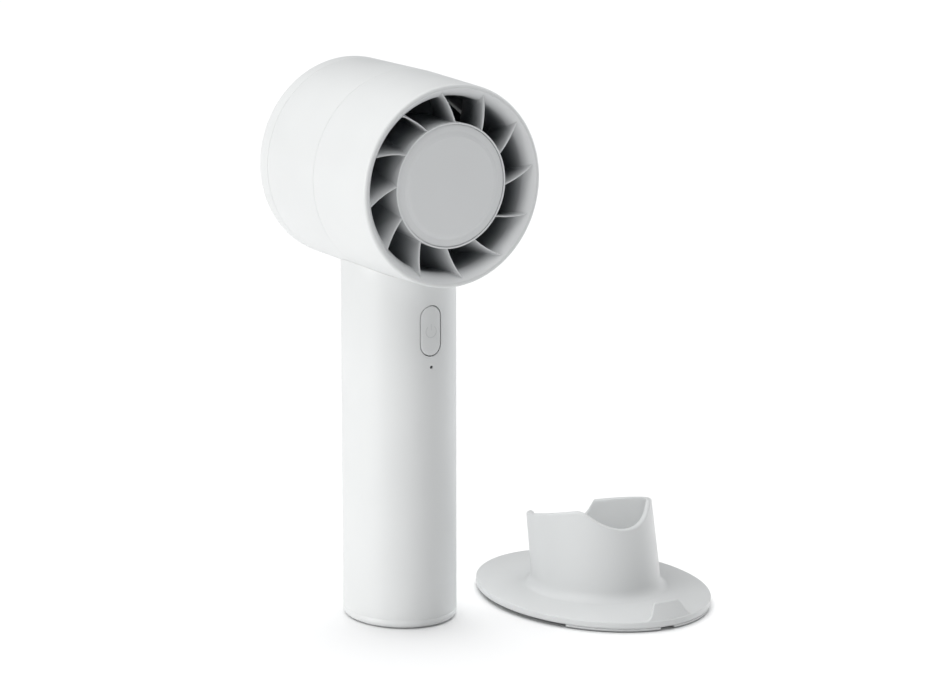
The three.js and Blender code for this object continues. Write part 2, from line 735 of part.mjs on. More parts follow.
function makeStandShell() {
  const dome = loft([
    standOval(0.9, FLANGE_BOTTOM_Z),
    standOval(0.2, FLANGE_BOTTOM_Z + 0.2),
    standOval(0, FLANGE_BOTTOM_Z + 0.7),
    standOval(0, FLANGE_EDGE_Z - 0.6),
    standOval(0.18, FLANGE_EDGE_Z - 0.15),
    standOval(0.6, FLANGE_EDGE_Z),
    standOval(6, FLANGE_EDGE_Z + 0.5),
    standOval(12, FLANGE_EDGE_Z + 1.0),
  ]);
  const growAt = (z) => CUP_CLEARANCE + CUP_WALL + CUP_DRAFT * (30 - z);
  const roots = [[3.4, 2], [3.4, 4.4], [1.6, 5.1], [0.8, 6.3], [0.35, 8.2], [0, 12], [0, 40]];
  const cup = cupPost(roots.map(([extra, z]) => [growAt(z) + extra, z]));
  const bore = cupPost([[CUP_CLEARANCE, CUP_FLOOR], [CUP_CLEARANCE, 42]]);
  const under = loft([standOval(3.2, 0), standOval(3.2, 2.0), standOval(9, 2.6), standOval(16, 3.1)]);
  let shell = solid(dome).add(solid(cup)).add(makeFrontLip());
  shell = shell.subtract(solid(bore)).subtract(solid(under)).subtract(solid(aboveRim()));
  shell = shell.subtract(cupScoop(16.7, 44.7, STAND_Y - 40, STAND_Y));
  shell = shell.subtract(cupScoop(13.05, 30.55, STAND_Y + 4, STAND_Y + 45));
  for (const side of [-1, 1]) {
    const y = STAND_Y + side * 33;
    shell = shell.add(solid(upright(2.6, FLANGE_BOTTOM_Z + 0.1, 4.0, STAND_X, y, 20)));
    shell = shell.subtract(solid(upright(1.0, 0, 3.4, STAND_X, y, 16)));
  }
  addPart('stand_shell', shell, WHITE);
}

// The raised lip at the front of the stand: a thin sloping wall with S-curved flanks.
function makeFrontLip() {
  const half = [[-10, 3.3], [-9.3, 3.7], [-7.6, 4.3], [-6.4, 5.5], [-5.6, 7.2], [-4.9, 8.3], [-3.9, 8.75]];
  const flanks = [[-10, 2], ...half, ...half.map(([u, z]) => [-u, z]).reverse(), [10, 2]];
  const side = [[-47.3, 2], [-47.25, 3.0], [-44.4, 8.3], [-43.9, 8.75], [-43.2, 8.75], [-42.8, 8.3],
    [-44.3, 5.2], [-43.8, 4.3], [-42.6, 3.6], [-42.4, 2]];
  const wall = loft([-38, -52].map((v) => flanks.map(([u, z]) => [STAND_X + u, STAND_Y + v, z])));
  const ridge = loft([-12, 12].map((u) => side.map(([v, z]) => [STAND_X + u, STAND_Y + v, z])));
  const rim = solid(loft([standOval(0.15, 0), standOval(0.15, 12)]));
  return solid(wall).intersect(solid(ridge)).intersect(rim);
}

function makeStandBase() {
  let plate = solid(loft([standOval(2.9, 0.3), standOval(2.9, FLANGE_BOTTOM_Z - 0.1)]));
  const frontPlate = solid(loft([standOval(0.5, 0.3), standOval(0.1, FLANGE_BOTTOM_Z - 0.1)]));
  const sector = solid(loft([0, 3].map((z) => [
    [STAND_X, STAND_Y - 5, z],
    [STAND_X + 60, STAND_Y - 55, z],
    [STAND_X + 60, STAND_Y - 70, z],
    [STAND_X - 60, STAND_Y - 70, z],
    [STAND_X - 60, STAND_Y - 51, z],
  ])));
  plate = plate.add(frontPlate.intersect(sector));
  plate = plate.subtract(solid(block(STAND_X - 4.2, STAND_X + 1.0, STAND_Y - 50, STAND_Y - 43.5, -1, 3)));
  for (const side of [-1, 1]) {
    plate = plate.subtract(solid(upright(1.1, -1, 3, STAND_X, STAND_Y + side * 33, 16)));
  }
  addPart('stand_base', plate, WHITE);
}

function makeStandDetails() {
  const corners = [[-1, -1], [1, -1], [1, 1], [-1, 1]];
  corners.forEach(([sx, sy], i) => {
    const x = STAND_X + 21 * sx;
    const y = STAND_Y + 25 * sy;
    addPart(`stand_foot_${i + 1}`, upright(3.6, 0, 0.28, x, y, 24), BLACK_RUBBER);
  });
  [-1, 1].forEach((side, i) => {
    const y = STAND_Y + side * 33;
    addPart(`stand_screw_${i + 1}`, upright(0.85, 0.4, 3.2, STAND_X, y, 16), STEEL);
  });
  const weight = solid(loft([standOval(19, 1.45), standOval(19, 2.9)]));
  addPart('stand_weight', weight, DARK_STEEL);
}

makeHandleShell();
makeBottomCap();
makeBattery();
makeBoards();
makeButton();
makeNeck();
makeLeads();
makeFrontShell();
makeGuideVanes();
makeHubCap();
makeRearShell();
makeRearBezel();
makeRearGrille();
makeDuctLiner();
makeMotor();
makeImpeller();
makeStandShell();
makeStandBase();
makeStandDetails();

export default fan;
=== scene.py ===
"""A hand-held turbo fan beside its docking stand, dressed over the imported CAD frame."""

import json
import math

import bmesh
import bpy
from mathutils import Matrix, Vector

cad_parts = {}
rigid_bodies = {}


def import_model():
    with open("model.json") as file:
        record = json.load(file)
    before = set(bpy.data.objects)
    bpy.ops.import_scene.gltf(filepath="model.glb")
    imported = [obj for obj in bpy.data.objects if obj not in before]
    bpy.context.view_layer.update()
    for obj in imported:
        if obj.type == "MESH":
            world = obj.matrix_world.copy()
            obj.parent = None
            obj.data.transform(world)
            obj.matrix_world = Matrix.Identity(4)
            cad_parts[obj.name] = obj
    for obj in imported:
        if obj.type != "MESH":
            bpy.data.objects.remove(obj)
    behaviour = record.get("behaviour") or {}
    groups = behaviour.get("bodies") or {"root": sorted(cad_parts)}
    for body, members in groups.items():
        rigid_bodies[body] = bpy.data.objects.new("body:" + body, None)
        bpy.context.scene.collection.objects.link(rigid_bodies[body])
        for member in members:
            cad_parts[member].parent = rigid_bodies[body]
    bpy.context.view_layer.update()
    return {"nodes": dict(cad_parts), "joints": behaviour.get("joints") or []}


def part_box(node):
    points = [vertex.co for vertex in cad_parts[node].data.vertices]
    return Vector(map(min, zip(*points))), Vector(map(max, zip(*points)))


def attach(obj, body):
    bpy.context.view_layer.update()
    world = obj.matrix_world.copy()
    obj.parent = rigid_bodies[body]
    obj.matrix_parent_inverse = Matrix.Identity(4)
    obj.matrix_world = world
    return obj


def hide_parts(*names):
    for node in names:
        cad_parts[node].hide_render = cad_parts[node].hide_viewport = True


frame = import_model()
MM = 0.001

# ---- dimensions in millimetres and angles in radians; most of them are the CAD's ----

HANDLE_X = 18.35
HANDLE_Y = 20.6
HANDLE_WALL = 1.8
CAP_SEAM_Z = 3.0
HEAD_Z = 1000 * next(j["pos_m"][2] for j in frame["joints"] if j["name"] == "impeller_spin")
HEAD_FRONT_Y = 1000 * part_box("head_front_shell")[0][1]
HEAD_REAR_Y = 1000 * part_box("rear_bezel")[1][1]
SEAM_Y = -3.2
HEAD_R_FRONT = 33.0
HEAD_R_MID = 33.8
HEAD_R_REAR = 33.4
BEZEL_Y = 27.3
DUCT_R = 28.7
LINER_R = 30.2
LIP_R = 31.9
LIP_DEPTH = 5.1
HUB_R = 20.45
HUB_CAP_R = 19.75
HUB_CAP_Y = 1000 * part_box("hub_cap")[0][1]
HUB_FRONT_Y = -33.2
HUB_SEAT_Y = -31.9
HUB_REAR_Y = -13.4
HUB_CAP_FLAT_R = 15.8  # the step outside it is only here: the CAD's edge is rounded
HUB_CAP_STEP = 2.0
HUB_CAP_DROP = 0.72
VANE_FRONT_Y = -33.15
VANE_REAR_Y = -14.5
VANE_COUNT = 12
VANE_START = math.radians(-4.3)
VANE_SWEEP = math.radians(11)
VANE_TWIST = math.radians(9)
VANE_LEAN = 0.6  # of the front edge, at its tip; straight in the CAD
VANE_ROOT_R = 20.1
VANE_TIP_R = 31.2
FUNNEL_RISE = 2.8
FUNNEL_CURVE = 1.75
GRILLE_BARS = 20
BLADE_COUNT = 7
BLADE_ROOT_R = 18.9
BLADE_TIP_R = 28.05
WHEEL_R = 19.5
BUTTON_Z = 100.5
BUTTON_W = 7.6
BUTTON_H = 16.6
LED_Z = 88.4
SOCKET_Z = 25.0
SOCKET_W = 9.6
SOCKET_H = 3.9
LED_R = 0.55
STAND_X = 500 * (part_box("stand_shell")[0][0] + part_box("stand_shell")[1][0])
STAND_Y = 500 * (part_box("stand_shell")[0][1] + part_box("stand_shell")[1][1])
FLANGE_X = 36.0
FLANGE_Y = 47.45
FLANGE_EDGE_Z = 3.5
CUP_LEAN = math.tan(math.radians(10.7))  # as a slope
CUP_SHIFT = -2.75
CUP_WALL = 1.85
CUP_CLEARANCE = 0.6
CUP_FLOOR_Z = 5.2
CUP_CORNER_Z = 6.5
CUP_RIM_Z = 31.5
CUP_RIM_SLOPE = 0.23
CUP_RIM_ROUND = 0.65
CUP_FOOT_Z = 8.0
FLANGE_ROOT_Z = 4.5
FRONT_SCOOP = (16.7, 44.7)  # radius, height of its centre
REAR_SCOOP = (13.05, 30.55)
LIP_LEAN = 0.53
LIP_WALL = 1.2
SCREW_Y = 33
STAND_SEGMENTS = 288


# ---- materials ----


def shader(name):
    """A new node material: returns it, its tree and its Principled shader."""
    mat = bpy.data.materials.new(name)
    mat.use_nodes = True
    tree = mat.node_tree
    return mat, tree, tree.nodes["Principled BSDF"]


def object_noise(tree, scale, detail=3.0, stretch=(1, 1, 1)):
    """Noise in the object's own coordinates; scale is in cycles a metre."""
    place = tree.nodes.new("ShaderNodeTexCoord")
    mapping = tree.nodes.new("ShaderNodeMapping")
    mapping.inputs["Scale"].default_value = stretch
    noise = tree.nodes.new("ShaderNodeTexNoise")
    noise.inputs["Scale"].default_value = scale
    noise.inputs["Detail"].default_value = detail
    tree.links.new(place.outputs["Object"], mapping.inputs["Vector"])
    tree.links.new(mapping.outputs["Vector"], noise.inputs["Vector"])
    return noise.outputs["Fac"]


def spread(tree, value, low, high):
    """Maps a noise's middle range onto low to high."""
    ramp = tree.nodes.new("ShaderNodeMapRange")
    ramp.inputs["From Min"].default_value = 0.3
    ramp.inputs["From Max"].default_value = 0.7
    ramp.inputs["To Min"].default_value = low
    ramp.inputs["To Max"].default_value = high
    tree.links.new(value, ramp.inputs["Value"])
    return ramp.outputs["Result"]


def tint(tree, value, dark, light):
    """A colour between two, driven by a value from 0 to 1."""
    mix = tree.nodes.new("ShaderNodeMix")
    mix.data_type = "RGBA"
    mix.inputs["A"].default_value = (*dark, 1)
    mix.inputs["B"].default_value = (*light, 1)
    tree.links.new(value, mix.inputs["Factor"])
    return mix.outputs["Result"]


def add_bump(tree, height, shader_node, distance):
    """Fine surface relief, with its depth in metres."""
    bump = tree.nodes.new("ShaderNodeBump")
    bump.inputs["Distance"].default_value = distance
    bump.inputs["Strength"].default_value = 1.0
    tree.links.new(height, bump.inputs["Height"])
    tree.links.new(bump.outputs["Normal"], shader_node.inputs["Normal"])


def moulded(name, colour, roughness, grain=2600, depth=6e-6, vary=0.02):
    """Satin moulded plastic: a fine spark-eroded grain, uneven gloss and faint flow clouds."""
    mat, tree, node = shader(name)
    clouds = object_noise(tree, 26, 2)
    dark = tuple(c * (1 - vary) for c in colour)
    light = tuple(min(1, c * (1 + vary)) for c in colour)
    tree.links.new(tint(tree, spread(tree, clouds, 0, 1), dark, light), node.inputs["Base Color"])
    patches = object_noise(tree, 90, 4)
    rough = spread(tree, patches, roughness - 0.05, roughness + 0.05)
    tree.links.new(rough, node.inputs["Roughness"])
    node.inputs["IOR"].default_value = 1.49
    node.inputs["Specular IOR Level"].default_value = 0.42
    add_bump(tree, object_noise(tree, grain, 5), node, depth)
    return mat


def vane_plastic_painted_shade():
    """The shell's plastic with painted shade: its colour darkens the deeper it lies in the air duct, in place
    of the duct's shadow.
    """
    mat = moulded("white_vanes_painted_shade", (0.64, 0.65, 0.655), 0.42)
    tree = mat.node_tree
    node = tree.nodes["Principled BSDF"]
    plain = node.inputs["Base Color"].links[0].from_socket
    place = tree.nodes.new("ShaderNodeTexCoord")
    split = tree.nodes.new("ShaderNodeSeparateXYZ")
    depth = tree.nodes.new("ShaderNodeMapRange")
    depth.interpolation_type = "SMOOTHSTEP"
    depth.inputs["From Min"].default_value = -33.8 * MM
    depth.inputs["From Max"].default_value = -21.5 * MM
    # painted shade: blends the colour towards dark grey with depth into the duct
    mix = tree.nodes.new("ShaderNodeMix")
    mix.data_type = "RGBA"
    mix.inputs["B"].default_value = (0.19, 0.205, 0.22, 1)
    tree.links.new(place.outputs["Object"], split.inputs["Vector"])
    tree.links.new(split.outputs["Y"], depth.inputs["Value"])
    tree.links.new(depth.outputs["Result"], mix.inputs["Factor"])
    tree.links.new(plain, mix.inputs["A"])
    tree.links.new(mix.outputs["Result"], node.inputs["Base Color"])
    return mat


def metal(name, colour, roughness, stretch=(1, 1, 1), grain=900):
    """Machined or rolled metal with a directional grain."""
    mat, tree, node = shader(name)
    streaks = object_noise(tree, grain, 4, stretch)
    dark = tuple(c * 0.82 for c in colour)
    tree.links.new(tint(tree, spread(tree, streaks, 0, 1), dark, colour), node.inputs["Base Color"])
    rough = spread(tree, streaks, roughness - 0.07, roughness + 0.1)
    tree.links.new(rough, node.inputs["Roughness"])
    node.inputs["Metallic"].default_value = 1.0
    add_bump(tree, streaks, node, 8e-6)
    return mat


def rubber(name, colour):
    mat, tree, node = shader(name)
    specks = object_noise(tree, 1800, 6)
    light = tuple(c * 1.6 for c in colour)
    tree.links.new(tint(tree, spread(tree, specks, 0, 1), colour, light), node.inputs["Base Color"])
    node.inputs["Roughness"].default_value = 0.82
    add_bump(tree, specks, node, 2e-5)
    return mat


def board(name):
    """Solder mask over copper tracks."""
    mat, tree, node = shader(name)
    place = tree.nodes.new("ShaderNodeTexCoord")
    tracks = tree.nodes.new("ShaderNodeTexBrick")
    tracks.inputs["Scale"].default_value = 260
    tracks.inputs["Color1"].default_value = (0.02, 0.11, 0.05, 1)
    tracks.inputs["Color2"].default_value = (0.03, 0.15, 0.07, 1)
    tracks.inputs["Mortar"].default_value = (0.06, 0.24, 0.11, 1)
    tree.links.new(place.outputs["Object"], tracks.inputs["Vector"])
    tree.links.new(tracks.outputs["Color"], node.inputs["Base Color"])
    node.inputs["Roughness"].default_value = 0.38
    node.inputs["Coat Weight"].default_value = 0.4
    add_bump(tree, tracks.outputs["Fac"], node, 1e-5)
    return mat


WHITE = moulded("white_shell", (0.66, 0.67, 0.67), 0.42)
# the vanes' and hub cap's plastic, with painted shade that darkens it deeper in the duct
WHITE_VANES_PAINTED_SHADE = vane_plastic_painted_shade()
WHITE_BUTTON = moulded("white_button", (0.65, 0.66, 0.66), 0.34, grain=3400)
WHITE_INNER = moulded("white_inner", (0.60, 0.61, 0.61), 0.48)
DARK_INNER = moulded("dark_inner", (0.15, 0.165, 0.18), 0.46)
ICON_GREY = moulded("icon_grey", (0.57, 0.58, 0.585), 0.5)
FRAME_GREY = moulded("frame_grey", (0.27, 0.28, 0.29), 0.55)
BLACK_PLASTIC = moulded("black_plastic", (0.018, 0.018, 0.02), 0.45)
SLEEVE = moulded("cell_sleeve", (0.06, 0.2, 0.31), 0.3, grain=700)
RED_WIRE = moulded("red_wire", (0.4, 0.03, 0.02), 0.42)
BLACK_WIRE = moulded("black_wire", (0.02, 0.02, 0.02), 0.42)
LENS = moulded("smoked_lens", (0.035, 0.036, 0.04), 0.12, depth=1e-6)
STEEL = metal("steel", (0.6, 0.61, 0.62), 0.3)
DARK_STEEL = metal("dark_steel", (0.2, 0.2, 0.21), 0.38, stretch=(1, 14, 1))
ALUMINIUM = metal("aluminium", (0.72, 0.73, 0.75), 0.34)
COPPER = metal("copper_wire", (0.68, 0.3, 0.13), 0.3, stretch=(1, 1, 9), grain=600)
RUBBER = rubber("black_rubber", (0.018, 0.018, 0.018))
BOARD = board("circuit_board")


# ---- mesh helpers ----


def make_mesh(name, verts, faces, mat, sharp=32):
    """A mesh object from points in millimetres, shaded smooth up to the given angle."""
    mesh = bpy.data.meshes.new(name)
    mesh.from_pydata([(x * MM, y * MM, z * MM) for x, y, z in verts], [], faces)
    obj = bpy.data.objects.new(name, mesh)
    bpy.context.collection.objects.link(obj)
    clean(obj)
    mesh.materials.append(mat)
    smooth(obj, sharp)
    return obj


def clean(obj):
    """Welds doubled points and turns every face outwards."""
    bm = bmesh.new()
    bm.from_mesh(obj.data)
    bmesh.ops.remove_doubles(bm, verts=bm.verts, dist=1e-7)
    bmesh.ops.recalc_face_normals(bm, faces=bm.faces)
    bm.to_mesh(obj.data)
    bm.free()


def smooth(obj, sharp):
    obj.data.shade_smooth()
    obj.data.set_sharp_from_angle(angle=math.radians(sharp))


def place(obj, body, slot, *nodes):
    """Rides on a body and stands for its CAD nodes; its slot is not used."""
    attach(obj, body)
    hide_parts(*nodes)


def fillet(corners, steps=5, closed=True):
    """Rounds a polygon's corners. Each corner is (a, b) or (a, b, radius)."""
    points = []
    count = len(corners)
    for i, corner in enumerate(corners):
        radius = corner[2] if len(corner) > 2 else 0
        here = Vector(corner[:2])
        if radius <= 0 or (not closed and i in (0, count - 1)):
            points.append(tuple(here))
            continue
        before = (Vector(corners[i - 1][:2]) - here).normalized()
        after = (Vector(corners[(i + 1) % count][:2]) - here).normalized()
        half = math.acos(max(-1, min(1, before.dot(after)))) / 2
        if half > 1.55:
            points.append(tuple(here))
            continue
        reach = radius / math.tan(half)
        start, end = here + before * reach, here + after * reach
        middle = here + (before + after).normalized() * (radius / math.sin(half))
        a, b = start - middle, end - middle
        turn = a.angle_signed(b)
        for k in range(steps + 1):
            t = -turn * k / steps
            points.append((
                middle.x + a.x * math.cos(t) - a.y * math.sin(t),
                middle.y + a.x * math.sin(t) + a.y * math.cos(t),
            ))
    return points


def turned(profile, closed=True, segments=192):
    """Points and faces of a (radius, y) profile turned about the head's axis."""
    verts, faces = [], []
    rows = len(profile)
    for k in range(segments):
        t = 2 * math.pi * k / segments
        verts += [(r * math.cos(t), y, HEAD_Z + r * math.sin(t)) for r, y in profile]
    last = rows if closed else rows - 1
    for k in range(segments):
        a, b = k * rows, ((k + 1) % segments) * rows
        for i in range(last):
            j = (i + 1) % rows
            faces.append((a + i, a + j, b + j, b + i))
    return verts, faces


def merged(*shapes):
    """Several (points, faces) as one."""
    verts, faces = [], []
    for v, f in shapes:
        base = len(verts)
        verts += v
        faces += [tuple(i + base for i in face) for face in f]
    return verts, faces


def loft(rings, caps=True):
    """Skins a stack of closed rings of equal length."""
    count = len(rings[0])
    verts = [p for ring in rings for p in ring]
    faces = []
    for level in range(len(rings) - 1):
        a, b = level * count, (level + 1) * count
        for i in range(count):
            j = (i + 1) % count
            faces.append((a + i, a + j, b + j, b + i))
    if caps:
        faces.append(tuple(range(count))[::-1])
        faces.append(tuple(range(len(verts) - count, len(verts))))
    return verts, faces


def oval(a, b, z, x=0.0, y=0.0, count=160):
    ring = []
    for k in range(count):
        t = 2 * math.pi * k / count
        ring.append((x + a * math.cos(t), y + b * math.sin(t), z))
    return ring


def block(x0, x1, y0, y1, z0, z1):
    ring = [(x0, y0), (x1, y0), (x1, y1), (x0, y1)]
    return loft([[(x, y, z) for x, y in ring] for z in (z0, z1)])


def stadium(width, height, steps=20):
    """A stadium outline in (u, v), standing up."""
    r, half = width / 2, height / 2 - width / 2
    ends = []
    for start, lift in ((0, half), (math.pi, -half)):
        for k in range(steps + 1):
            t = start + math.pi * k / steps
            ends.append((r * math.cos(t), lift + r * math.sin(t)))
    return ends


def helper(name, shape):
    """A white piece that is still to be cut or joined."""
    return make_mesh(name, *shape, WHITE)


def boolean(obj, cutter, operation="DIFFERENCE"):
    """Applies one boolean and removes the cutter."""
    mod = obj.modifiers.new("cut", "BOOLEAN")
    mod.operation = operation
    mod.solver = "EXACT"
    mod.object = cutter
    bake(obj)
    bpy.data.objects.remove(cutter)


def bake(obj):
    """Makes the object's modifiers real."""
    graph = bpy.context.evaluated_depsgraph_get()
    mesh = bpy.data.meshes.new_from_object(obj.evaluated_get(graph))
    obj.modifiers.clear()
    obj.data = mesh


def soften(obj, width, angle=35, segments=3):
    """Rounds the sharp edges with a small bevel."""
    mod = obj.modifiers.new("edge", "BEVEL")
    mod.width = width * MM
    mod.segments = segments
    mod.limit_method = "ANGLE"
    mod.angle_limit = math.radians(angle)
    mod.use_clamp_overlap = True
    mod.harden_normals = False
    bake(obj)


# ---- head ----


def head_radius(y):
    end, r = (HEAD_FRONT_Y, HEAD_R_FRONT) if y < SEAM_Y else (HEAD_REAR_Y, HEAD_R_REAR)
    return HEAD_R_MID + (r - HEAD_R_MID) * (y - SEAM_Y) / (end - SEAM_Y)


def make_front_shell():
    inner = LIP_R + 0.02
    profile = fillet([
        (inner, HEAD_FRONT_Y + 0.4),
        (inner, HEAD_FRONT_Y, 0.02),
        (HEAD_R_FRONT, HEAD_FRONT_Y, 1.02),
        (head_radius(SEAM_Y - 0.04), SEAM_Y - 0.04, 0.1),
        (HEAD_R_MID - 1.9, SEAM_Y - 0.04),
        (HEAD_R_MID - 2.2, SEAM_Y - 8),
        (inner, SEAM_Y - 14),
    ], steps=8)
    obj = make_mesh("front_shell_skin", *turned(profile), WHITE)
    place(obj, "fan_body", "white_shell", "head_front_shell")


def make_rear_shell():
    inner = HEAD_R_MID - 1.9
    profile = fillet([
        (head_radius(SEAM_Y + 0.04), SEAM_Y + 0.04, 0.1),
        (head_radius(BEZEL_Y), BEZEL_Y - 0.06, 0.14),
        (head_radius(BEZEL_Y) - 1.6, BEZEL_Y - 0.06),
        (inner - 0.3, 10),
        (inner - 1.2, SEAM_Y + 2.4),
        (inner - 1.2, SEAM_Y - 4),
        (inner - 0.4, SEAM_Y - 4),
        (inner - 0.4, SEAM_Y + 0.04),
    ])
    obj = make_mesh("rear_shell_skin", *turned(profile), WHITE)
    place(obj, "fan_body", "white_shell", "head_rear_shell")


def make_rear_bezel():
    r = head_radius(BEZEL_Y)
    profile = fillet([
        (r, BEZEL_Y + 0.02, 0.14),
        (HEAD_R_REAR, HEAD_REAR_Y, 2.2),
        (30.2, HEAD_REAR_Y, 0.5),
        (29.45, HEAD_REAR_Y - 1.0, 0.3),
        (29.45, BEZEL_Y - 1.6),
        (r - 1.85, BEZEL_Y - 1.6),
        (r - 1.85, BEZEL_Y + 0.02),
    ], steps=8)
    obj = make_mesh("rear_bezel_skin", *turned(profile), WHITE)
    place(obj, "fan_body", "white_shell", "rear_bezel")


def grille_bar(angle, r_in, r_out, width, y0, y1):
    """One rounded bar that leans round the axis as it goes out."""
    rings = []
    outline = fillet([
        (-width / 2, y0, 0.3), (width / 2, y0, 0.3), (width / 2, y1, 0.3), (-width / 2, y1, 0.3),
    ], steps=4)
    steps = 14
    for k in range(steps + 1):
        r = r_in + (r_out - r_in) * k / steps
        t = angle + (r - 8.5) / 19 * 0.5
        along = Vector((math.cos(t), 0, math.sin(t)))
        across = Vector((-math.sin(t), 0, math.cos(t)))
        ring = []
        for u, y in outline:
            p = along * r + across * u
            ring.append((p.x, y, HEAD_Z + p.z))
        rings.append(ring)
    return loft(rings)


def make_rear_grille():
    y1 = HEAD_REAR_Y - 1.5
    y0 = y1 - 1.8
    shapes = []
    for r0, r1 in ((16.6, 18.2), (27.4, 29.2)):
        profile = fillet([(r1, y0, 0.3), (r1, y1, 0.35), (r0, y1, 0.35), (r0, y0, 0.3)])
        shapes.append(turned(profile))
    dome = fillet([(0, y0), (8.5, y0), (8.5, y1, 0.5), (0, y1)], closed=False, steps=6)
    shapes.append(turned(dome, closed=False, segments=96))
    for k in range(GRILLE_BARS):
        shapes.append(grille_bar(2 * math.pi * k / GRILLE_BARS, 8.2, 27.8, 1.3, y0 + 0.1, y1 - 0.08))
    obj = make_mesh("rear_grille_bars", *merged(*shapes), WHITE_INNER)
    place(obj, "fan_body", "white_inner", "rear_grille")


def lip_radius(y):
    """Radius of the mouth's inner surface: a curved funnel that runs out into the duct."""
    depth = min(1, max(0, (y - HEAD_FRONT_Y) / LIP_DEPTH))
    return DUCT_R + FUNNEL_RISE * (1 - depth) ** FUNNEL_CURVE


def ease(t):
    """A smooth step from 0 to 1."""
    t = max(0, min(1, t))
    return t * t * (3 - 2 * t)


def vane(base):
    """One guide vane: sweeps outwards, twists with depth, and swells into its root and tip."""
    count = 26
    stations = 30
    rings = []
    for i in range(stations + 1):
        r = VANE_ROOT_R + (VANE_TIP_R - VANE_ROOT_R) * i / stations
        left, right = [], []
        front = VANE_FRONT_Y - VANE_LEAN * max(0, r - HUB_R) / (VANE_TIP_R - HUB_R)
        for k in range(count + 1):
            s = (1 - math.cos(math.pi * k / count)) / 2
            y = front + (VANE_REAR_Y - front) * s
            depth = y - front
            sweep = VANE_SWEEP * (r - HUB_R) / (LINER_R - HUB_R)
            angle = base + sweep - VANE_TWIST * s ** 1.4
            nose = min(1, math.sqrt(max(0, depth) / 0.7))
            tail = min(1, math.sqrt(max(0, VANE_REAR_Y - y) / 1.2))
            half = (0.24 + 0.26 * min(1, depth / 9)) * nose * tail
            root = math.exp(-max(0, r - HUB_R) / 0.4)
            tip = math.exp(-max(0, lip_radius(y) - r) / 0.4)
            half += 0.6 * (root + tip) * ease(depth / 3) * tail
            for side, points in ((-1, left), (1, right)):
                t = angle + side * half / r
                points.append((r * math.cos(t), y, HEAD_Z + r * math.sin(t)))
        rings.append(left + right[-2:0:-1])
    return loft(rings)


def mouth_profile():
    """The vane ring's section: lip, curved funnel, duct wall and its stepped outside."""
    front = HEAD_FRONT_Y
    points = fillet([(LIP_R, front + 0.5), (LIP_R, front + 0.01, 0.02), (31.55, front + 0.01)], closed=False)
    for k in range(1, 25):
        depth = LIP_DEPTH * (k / 24) ** 1.5
        points.append((lip_radius(front + depth), front + depth + 0.02))
    return points + [(DUCT_R, HUB_REAR_Y), (30.3, HUB_REAR_Y), (30.3, -16.5), (LIP_R, -17.5)]


def make_guide_vanes():
    """The mouth's funnel, the hub's can and the vanes between them."""
    can = fillet([
        (HUB_R, HUB_FRONT_Y, 0.22),
        (HUB_R, HUB_REAR_Y, 0.4),
        (4.6, HUB_REAR_Y),
        (4.6, HUB_REAR_Y - 1.6),
        (18.9, HUB_REAR_Y - 1.6),
        (18.9, HUB_SEAT_Y),
        (19.87, HUB_SEAT_Y),
        (19.87, HUB_FRONT_Y, 0.1),
    ])
    shapes = [turned(mouth_profile()), turned(can)]
    shapes += [vane(VANE_START + 2 * math.pi * k / VANE_COUNT) for k in range(VANE_COUNT)]
    # the vane ring carries the painted duct shade
    obj = make_mesh("guide_vane_ring", *merged(*shapes), WHITE_VANES_PAINTED_SHADE, sharp=40)
    place(obj, "fan_body", "white_shell", "guide_vanes")


def make_hub_cap():
    """A flat disc that steps softly down to its outer ring, set into the mouth of the hub."""
    points = [(0, HUB_CAP_Y)]
    for k in range(17):
        t = k / 16
        points.append((HUB_CAP_FLAT_R + HUB_CAP_STEP * t, HUB_CAP_Y + HUB_CAP_DROP * ease(t)))
    back = HUB_SEAT_Y - 0.15
    points += fillet([
        (HUB_CAP_FLAT_R + HUB_CAP_STEP, HUB_CAP_Y + HUB_CAP_DROP),
        (HUB_CAP_R, HUB_CAP_Y + HUB_CAP_DROP + 0.04, 0.15),
        (HUB_CAP_R, back),
    ], closed=False)[1:]
    points += [(18.7, back), (18.7, HUB_SEAT_Y + 3.6), (17.5, HUB_SEAT_Y + 3.6), (17.5, back), (0, back)]
    # the hub cap shares the vanes' material with its painted duct shade
    obj = make_mesh("hub_cap_disc", *turned(points, closed=False), WHITE_VANES_PAINTED_SHADE, sharp=50)
    place(obj, "fan_body", "white_shell", "hub_cap")


def make_duct_liner():
    profile = fillet([
        (LINER_R, -13.1),
        (LINER_R, 17),
        (31.2, 21.5, 0.3),
        (30.4, 22.4, 0.3),
        (29.0, 17.6, 8),
        (DUCT_R, 12, 8),
        (DUCT_R, -13.1, 0.2),
    ], steps=6)
    obj = make_mesh("duct_liner_tube", *turned(profile), DARK_INNER)
    place(obj, "fan_body", "dark_inner", "duct_liner")


# ---- impeller ----


def impeller_blade(base):
    """One blade: winds round the axis as it goes back, and swells into the wheel."""
    count, stations = 26, 14
    rings = []
    for i in range(stations + 1):
        r = BLADE_ROOT_R + (BLADE_TIP_R - BLADE_ROOT_R) * i / stations
        left, right = [], []
        for k in range(count + 1):
            s = (1 - math.cos(math.pi * k / count)) / 2
            y = -11 + 17 * s
            angle = base + math.radians(58) * s ** 1.25 + math.radians(14) * (r - WHEEL_R) / 9
            half = 0.62 * math.sqrt(max(0, min(1, s / 0.06, (1 - s) / 0.14)))
            half += 0.7 * math.exp(-max(0, r - WHEEL_R) / 0.45) * min(1, s * 20, (1 - s) * 20)
            for side, points in ((-1, left), (1, right)):
                t = angle + side * half / r
                points.append((r * math.cos(t), y, HEAD_Z + r * math.sin(t)))
        rings.append(left + right[-2:0:-1])
    return loft(rings)


